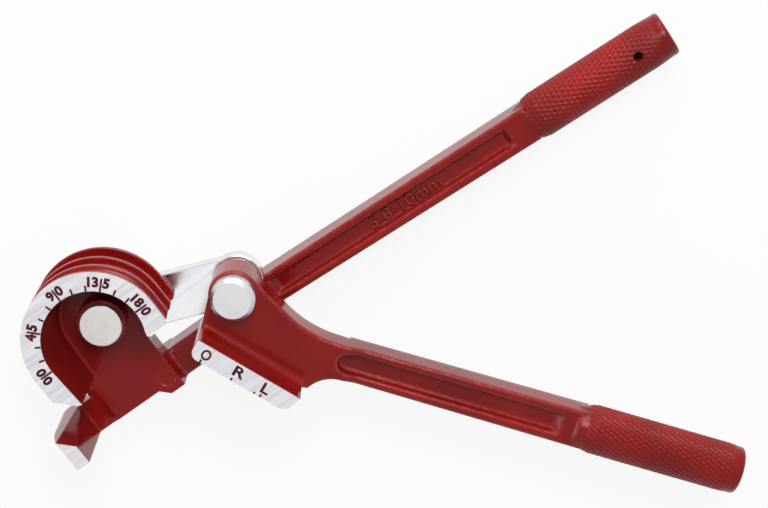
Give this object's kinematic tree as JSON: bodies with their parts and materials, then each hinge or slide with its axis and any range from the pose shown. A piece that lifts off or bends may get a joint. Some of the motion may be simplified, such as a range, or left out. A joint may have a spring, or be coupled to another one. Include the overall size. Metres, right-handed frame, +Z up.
{
  "type": "lever tube bender",
  "caption": "Hand tube bender: a grooved half drum with an angle scale and a hook on one handle, and a grooved shoe on a second handle, carried round the drum by a steel link.",
  "frame": {"origin": "middle of the tool's outline at rest, on the bench that it lies on with its back", "axes": "+X along the drum's handle towards its grip, +Y across it towards the drum's round side, +Z up out of the scale's face"},
  "size_m": [0.2548, 0.2036, 0.0516],
  "materials": {
    "casting": "die casting under gloss red paint, bare ground front faces",
    "link": "bright plated steel",
    "pin": "satin plated steel"
  },
  "bodies": {
    "former": {"former_drum": "casting", "former_handle": "casting"},
    "link": {"link_plate": "link", "former_pin": "pin", "lever_pin": "pin", "former_washer": "pin", "lever_washer": "pin"},
    "lever": {"lever_handle": "casting"}
  },
  "joints": [
    {"name": "link", "type": "hinge", "parent": "former", "child": "link", "pos_m": [-0.08732, 0.07734, 0.0177], "axis": [0, 0, 1], "range_deg": [-8, 203.5]},
    {"name": "lever", "type": "hinge", "parent": "link", "child": "lever", "pos_m": [-0.04303, 0.0599, 0.02925], "axis": [0, 0, 1], "range_deg": [-43.8, 95]}
  ]
}
